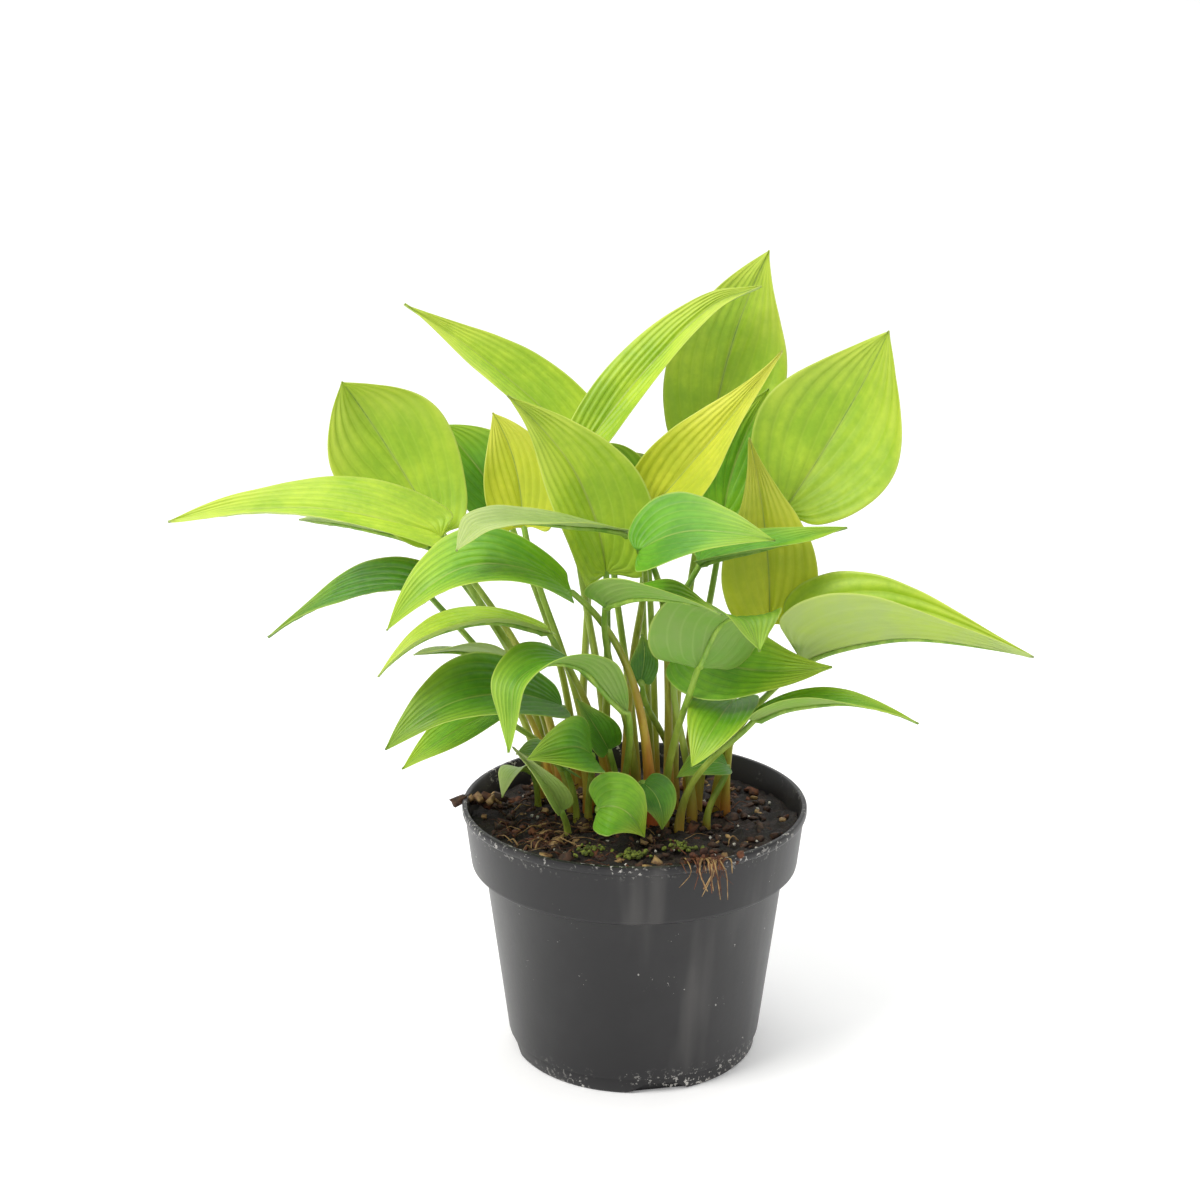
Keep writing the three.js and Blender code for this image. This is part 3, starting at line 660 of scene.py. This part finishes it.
def makeStalk(name, stalkRings, points, normal, t):
    centres = np.array([(r[2] + r[6]) / 2 for r in stalkRings])
    sides = np.array([r[2] - r[6] for r in stalkRings])
    tops = np.array([(r[1] + r[7]) / 2 - (r[3] + r[5]) / 2 for r in stalkRings])
    radii = np.array([np.linalg.norm(r[2] - r[6]) / 2 for r in stalkRings])
    start = centres[0] - np.array([0, 0, stalk["sink"]])
    centres = np.vstack([start, centres])
    sides, tops = np.vstack([sides[:1], sides]), np.vstack([tops[:1], tops])
    radii = np.concatenate([radii[:1], radii])
    run = np.concatenate([[0], np.cumsum(np.linalg.norm(np.diff(centres, axis=0), axis=1))])
    samples = np.linspace(0, run[-1], stalk["rows"])
    fineCentres = hermite(run, centres, samples)
    fineSides, fineTops = hermite(run, sides, samples), hermite(run, tops, samples)
    fineRadii = hermite(run, radii, samples)
    share = samples / run[-1]
    fineRadii = fineRadii * (1 + (stalk["sheath"] - 1) * (1 - smooth(0.05, 0.4, share)))
    # the stalk runs on under the blade as its rib
    middle = points[:, points.shape[1] // 2]
    below = normal[:, points.shape[1] // 2]
    side = np.cross(below, np.gradient(middle, axis=0))
    rib = range(3, len(middle) - 1, 2)
    ribRadii = fineRadii[-1] * (1 - t[rib]) ** 0.8 * 0.85 + stalk["ribTip"]
    ribCentres = middle[rib] - below[rib] * (ribRadii * 0.75)[:, None]
    centres = np.vstack([fineCentres, ribCentres])
    flip = 1 if (side[4] @ fineSides[-1]) > 0 else -1
    sides = np.vstack([fineSides, side[rib] * flip])
    tops = np.vstack([fineTops, below[rib]])
    sides = sides / np.linalg.norm(sides, axis=1, keepdims=True)
    tops = tops / np.linalg.norm(tops, axis=1, keepdims=True)
    radii = np.concatenate([fineRadii, ribRadii])
    return tubeAlong(name, centres, sides, tops, radii)


def leafFinish(slot, under):
    tone = tones[slot]
    finish = Finish(slot + ("_under" if under else "_top"))
    across, along = finish.uv()
    a = abs(across * 2 - 1)
    shade = finish.attribute("leafShade")
    phase = blade["veins"] * a ** 0.9 - blade["drift"] * along
    gap = abs((phase + 50).math("FRACT") - 0.5)  # half on a vein, none between veins
    vein = finish.between(gap, 0.36, 0.5) * finish.between(a, 0.8, 0.99, 1.0, 0.0)
    rib = finish.between(a, 0.0, 0.035, 1.0, 0.0)
    margin = finish.between(a, 0.955, 0.99)
    mottle = finish.noise(55, 4, 0.6)
    fine = finish.noise(420, 3, 0.6)
    cells = finish.noise(1500, 2, 0.5)
    if under:
        colour = finish.mix(finish.between(mottle, 0.35, 0.7, 0, 0.5), rgb(tone["under"]), rgb(tone["top"]))
        colour = finish.mix(vein * 0.14, colour, rgb("b6c77f"))
        colour = finish.mix(rib * 0.6, colour, rgb("c8d39b"))
    else:
        spread = finish.between(mottle + 0.35 * fine, 0.45, 0.9)
        colour = finish.mix(spread, rgb(tone["deep"]), rgb(tone["top"]))
        toEnd = finish.between(along + 0.25 * a + 0.3 * mottle, 0.75, 1.25)
        colour = finish.mix(toEnd * 0.75, colour, rgb(tone["tip"]))
        # painted shade: the green deepens towards each vein, in the sunken grooves where shade falls
        between = finish.between(gap, 0.05, 0.4) * 0.3
        colour = finish.mix(between, colour, rgb(tone["deep"]))
        colour = finish.mix(vein * 0.14, colour, rgb(tone["tip"]))
        colour = finish.mix(rib * 0.4, colour, rgb("c2d06a"))
    colour = finish.mix(margin * 0.45, colour, rgb("c9d870"))
    colour = finish.mix(shade, colour, rgb(tone["deep"]), "MULTIPLY")
    height = (1 - vein) * 0.35 + fine * 0.25 + cells * 0.12
    rough = (0.52 if under else 0.4) + 0.16 * mottle
    finish.set(Base_Color=colour, Roughness=rough, Normal=finish.bump(height, 0.35, 0.00035))
    finish.set(Specular_IOR_Level=0.45, Subsurface_Weight=0.15, Subsurface_Scale=0.002)
    finish.set(Subsurface_Radius=(0.8, 1.0, 0.15))
    return finish.material


def stalkFinish():
    finish = Finish("leaf_stalk")
    along = finish.uv()[1]
    warm = finish.attribute("leafBlush")
    streak = finish.noise(240, 4, 0.6, 0, finish.node(
        "ShaderNodeMapping", None, {"Vector": finish.place(), "Scale": (1, 1, 0.12)}))
    green = finish.mix(finish.between(streak, 0.35, 0.7), rgb("6f9a30"), rgb("9dbb4c"))
    orange = finish.mix(finish.between(streak, 0.3, 0.7), rgb("c87525"), rgb("e0a63c"))
    low = finish.between(along + 0.12 * streak, 0.05, 0.62, 1.0, 0.0)
    colour = finish.mix(low * warm, green, orange)
    foot = finish.between(along, 0.05, 0.16, 1.0, 0.0)
    colour = finish.mix(foot * (0.25 + 0.75 * warm), colour, rgb("b9602c"))
    finish.set(Base_Color=colour, Roughness=0.38 + 0.15 * streak, Normal=finish.bump(streak, 0.3, 0.0004))
    finish.set(Specular_IOR_Level=0.45, Subsurface_Weight=0.15, Subsurface_Scale=0.0015)
    finish.set(Subsurface_Radius=(0.8, 1.0, 0.2))
    return finish.material


def paint(obj, name, value):
    layer = obj.data.attributes.new(name, "FLOAT", "POINT")
    layer.data.foreach_set("value", np.full(len(obj.data.vertices), value, np.float32))


def makeLeaf(name, seed, finishes):
    rings, tip = readLeaf(name)
    points, normal, t, stalkRings = leafSurface(rings, tip, seed)
    sheet = makeBlade(name + "_blade", points, normal)
    slot = slotOf[name]
    sheet.data.materials.append(finishes[slot, False])
    sheet.data.materials.append(finishes[slot, True])
    applyModifier(sheet, "SOLIDIFY", thickness=blade["thickness"], offset=-1,
                  material_offset=1, material_offset_rim=0,
                  vertex_group="thick", thickness_vertex_group=blade["marginThickness"])
    sheet.data.materials.append(finishes["stalk"])
    tube = makeStalk(name + "_stalk", stalkRings, points, normal, t)
    tube.data.materials.append(finishes["stalk"])
    piece = joinPieces([sheet, tube], name + "_grown")
    shadeSmooth(piece)
    paint(piece, "leafBlush", blush.get(name, 0.25))
    paint(piece, "leafShade", random.Random(seed + 7).uniform(0.0, 0.16))
    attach(piece, "root")
    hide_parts(name)


def makeLeaves():
    finishes = {"stalk": stalkFinish()}
    for slot in tones:
        finishes[slot, False] = leafFinish(slot, False)
        finishes[slot, True] = leafFinish(slot, True)
    for seed, name in enumerate(leafNames):
        makeLeaf(name, seed, finishes)


makeLeaves()
print("leaves ready:", len(leafNames))


# soil

# level and slope are where the litter lies: the height at the middle, and the fall towards the back
soil = {"rings": 44, "spokes": 150, "lump": 2.6 * mm, "crumb": 1.3 * mm, "overlap": 0.9 * mm,
        "level": 84.2 * mm, "slope": 3.2 / 60, "dark": "120c09", "brown": "2c1b12", "flecks": "5d3d26"}


def soilFinish():
    finish = Finish("potting_soil")
    coarse = finish.noise(160, 5, 0.7)
    fine = finish.noise(900, 4, 0.7)
    colour = finish.mix(finish.between(coarse, 0.4, 0.68), rgb(soil["dark"]), rgb(soil["brown"]))
    colour = finish.mix(finish.between(fine, 0.62, 0.75, 0, 0.5), colour, rgb(soil["flecks"]))
    height = coarse * 0.7 + fine * 0.5
    finish.set(Base_Color=colour, Roughness=0.85 - 0.2 * fine, Normal=finish.bump(height, 0.9, 0.0018))
    return finish.material


def soilTop():
    # the CAD soil's top as a rough disc, with a side that hangs inside the pot
    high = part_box("soil")[1]
    node = frame["nodes"]["soil"].data
    top = np.array([v.co for v in node.vertices if v.co.z > high.z - 12 * mm])
    reach = np.linalg.norm(top[:, :2], axis=1).max() + soil["overlap"]
    tilt, level = np.polyfit(top[:, 1], top[:, 2], 1)
    rows = []
    for ring in range(soil["rings"]):
        share = (ring / (soil["rings"] - 1)) ** 0.85
        row = []
        for spoke in range(soil["spokes"] + 1):
            angle = math.tau * (spoke % soil["spokes"]) / soil["spokes"]
            x, y = math.cos(angle) * reach * share, math.sin(angle) * reach * share
            spot = Vector((x, y, 0))
            lift = noise.fractal(spot * 60, 0.9, 2.1, 3) * soil["lump"]
            lift += noise.fractal(spot * 320, 0.8, 2.2, 3) * soil["crumb"]
            row.append((x, y, level + tilt * y + lift))
        rows.append(row)
    edge = rows[-1]
    for drop, share in ((9, 0.965), (13, 0.93), (18, 0.88), (18, 0.0)):
        rows.append([(x * share, y * share, level - drop * mm) for x, y, _ in edge])
    piece = gridSheet("soil_bed", len(rows), soil["spokes"] + 1, np.array(rows))
    editMesh(piece, (bpy.ops.mesh.normals_make_consistent, {"inside": False}))
    shadeSmooth(piece, 60)
    piece.data.materials.append(soilFinish())
    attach(piece, "root")
    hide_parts("soil")
    return piece


bed = soilTop()
print("soil ready")


# litter on the soil

# places and sizes in millimetres; most fibres lie about fibresAt, at the front left
litter = {"chips": 560, "chipSize": (0.7, 2.8), "gritSize": 0.9, "fibres": 190, "fibresAt": (-30, -22),
          "fibreSize": (0.16, 0.42), "reach": 53, "moss": 46, "mossSize": (0.6, 1.7), "seed": 4}
# moss grows in three tufts, each with its spread; a root clump hangs over the rim, and bark leans out
tufts = [(-15, -36, 6), (15, -33, 6), (-2, -41, 5)]
rimClump = {"x": 23, "y": -53, "fibres": 34, "fibreSize": (0.25, 0.6), "clods": 26}
leftBark = {"x": -53, "y": 4, "chips": 16}


def flatFinish(name, dark, light, grainScale=420, rough=0.85):
    finish = Finish(name)
    grain = finish.noise(grainScale, 4, 0.65)
    colour = finish.mix(finish.between(grain, 0.35, 0.65), rgb(dark), rgb(light))
    finish.set(Base_Color=colour, Roughness=rough - 0.15 * grain, Normal=finish.bump(grain, 0.6, 0.0008))
    return finish.material


def soilLevel(y):
    return soil["level"] - soil["slope"] * y


def makeTemplate(kind):
    deselectAll()
    if kind == "chip":
        bpy.ops.mesh.primitive_cube_add(size=1)
        made = bpy.context.object
        editMesh(made, (bpy.ops.mesh.subdivide, {"number_cuts": 1}))
        rng = random.Random(9)
        for vertex in made.data.vertices:
            vertex.co *= 1 + rng.uniform(-0.3, 0.15)
    else:
        bpy.ops.mesh.primitive_ico_sphere_add(subdivisions=2, radius=0.5)
        made = bpy.context.object
        for vertex in made.data.vertices:
            vertex.co *= 1 + 0.5 * noise.noise(vertex.co * 4)
    return made


def place(template, spot, size, turn, material):
    copy = template.copy()
    copy.data = template.data.copy()
    scene.collection.objects.link(copy)
    copy.location, copy.scale, copy.rotation_euler = spot, size, turn
    copy.data.materials.clear()
    copy.data.materials.append(material)
    return copy


def makeFibre(points, radius, material):
    centres = hermite(range(len(points)), points, np.linspace(0, len(points) - 1, 9))
    ways = np.gradient(centres, axis=0)
    ways /= np.linalg.norm(ways, axis=1, keepdims=True)
    sides = np.cross(ways, (0.1, 0.2, 1.0))
    sides /= np.linalg.norm(sides, axis=1, keepdims=True)
    tops = np.cross(sides, ways)
    angles = np.linspace(0, math.tau, 6)
    rows = [np.repeat(centres[:1], 6, axis=0)]
    for i in range(9):
        r = radius * (1 - 0.7 * i / 8)
        around = np.outer(np.sin(angles), sides[i]) + np.outer(np.cos(angles), tops[i])
        rows.append(centres[i] + r * around)
    rows.append(np.repeat(centres[-1:], 6, axis=0))
    fibre = gridSheet("fibre", len(rows), 6, np.array(rows))
    editMesh(fibre, (bpy.ops.mesh.normals_make_consistent, {"inside": False}))
    fibre.data.materials.append(material)
    return fibre


def makeLitter(bed):
    rng = random.Random(litter["seed"])
    bark = flatFinish("bark_dark", "1c120c", "4a2f1d")
    rust = flatFinish("bark_rust", "33190e", "6e4023", 300)
    straw = flatFinish("root_pale", "6d5030", "a98a58", 300, 0.7)
    moss = flatFinish("moss", "3c4712", "7d8a2c", 900)
    grit = flatFinish("grit_pale", "9a958a", "dcd8cd", 500)
    chip, clod = makeTemplate("chip"), makeTemplate("clod")
    pieces = []

    def spotOnSoil(x, y, lift=0.0):
        return Vector((x * mm, y * mm, soilLevel(y * mm) + lift * mm))

    for i in range(litter["chips"]):
        angle, r = rng.uniform(0, math.tau), litter["reach"] * math.sqrt(rng.random())
        size = rng.uniform(*litter["chipSize"]) * (1.6 if rng.random() < 0.12 else 1) * mm
        material = rng.choice([bark, bark, bark, bark, rust, straw] if i % 9 else [grit])
        shape = (size * rng.uniform(0.8, 2.2), size, size * rng.uniform(0.3, 0.8))
        turn = [rng.uniform(-0.6, 0.6), rng.uniform(-0.6, 0.6), rng.uniform(0, 6.28)]
        if material is grit:
            shape = [litter["gritSize"] * mm] * 3
        template = rng.choice([chip, clod])
        spot = spotOnSoil(r * math.cos(angle), r * math.sin(angle))
        pieces.append(place(template, spot, shape, turn, material))
    for x, y, spread in tufts:
        for i in range(litter["moss"]):
            px, py = rng.gauss(x, spread * 0.5), rng.gauss(y, spread * 0.35)
            size = rng.uniform(*litter["mossSize"]) * mm
            spot = spotOnSoil(px, py, rng.uniform(0, 1.6))
            turn = (rng.random() * 6, rng.random() * 6, 0)
            pieces.append(place(clod, spot, (size, size, size * 1.3), turn, moss))
    for i in range(litter["fibres"]):
        left = rng.random() < 0.6
        x = rng.gauss(litter["fibresAt"][0], 11) if left else rng.uniform(-46, 46)
        y = rng.gauss(litter["fibresAt"][1], 10) if left else rng.uniform(-46, 40)
        if math.hypot(x, y) > 50:
            continue
        way, reach = rng.uniform(0, 6.28), rng.uniform(4, 13)
        points = [np.array(spotOnSoil(x, y, 0))]
        for step in range(3):
            way += rng.uniform(-0.8, 0.8)
            x += math.cos(way) * reach / 3
            y += math.sin(way) * reach / 3
            if math.hypot(x, y) > 54:
                break
            points.append(np.array(spotOnSoil(x, y, rng.uniform(0.2, 2.2) if step < 2 else 0)))
        if len(points) > 2:
            radius = rng.uniform(*litter["fibreSize"]) * mm
            pieces.append(makeFibre(points, radius, rng.choice([rust, rust, straw, bark])))
    # bark that leans out over the rim on the left
    for i in range(leftBark["chips"]):
        x, y = rng.gauss(leftBark["x"], 4), rng.gauss(leftBark["y"], 3)
        size = rng.uniform(2, 4.5) * mm
        spot = Vector((x * mm, y * mm, rng.uniform(87.5, 91.5) * mm))
        turn = (rng.uniform(-0.7, 0.7), rng.uniform(-0.7, 0.7), rng.uniform(0, 3))
        material = rng.choice([bark, bark, rust, straw])
        pieces.append(place(chip, spot, (size * 1.5, size * 0.7, size * 0.6), turn, material))
    # a dry root clump that hangs over the rim at the front right
    for i in range(rimClump["fibres"]):
        x = rng.gauss(rimClump["x"], 3.2)
        drop = rng.random() < 0.45
        points = [(x + rng.uniform(-4, 4), -47, 88), (x, -54.5, 91.2), (x + rng.uniform(-2, 2), -60.6, 89),
                  (x + rng.uniform(-3, 3), -60.8, rng.uniform(79, 86))]
        points = points[:4 if drop else 3]
        radius = rng.uniform(*rimClump["fibreSize"]) * mm
        pieces.append(makeFibre(np.array(points) * mm, radius, rng.choice([rust, rust, straw])))
    for i in range(rimClump["clods"]):
        size = rng.uniform(1.2, 3) * mm
        x, y = rng.gauss(rimClump["x"], 3.4), rng.gauss(rimClump["y"] + 2, 2.2)
        spot = (x * mm, y * mm, rng.uniform(88, 92) * mm)
        pieces.append(place(clod, spot, (size, size, size * 0.8), (rng.random() * 6, 0, 0), rust))
    for piece in pieces:
        shadeSmooth(piece)
    joined = joinPieces([bed] + pieces, "soil_bed")
    settle(joined)
    bpy.data.objects.remove(chip)
    bpy.data.objects.remove(clod)


makeLitter(bed)
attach(bpy.data.objects["soil_bed"], "root")
print("litter ready")
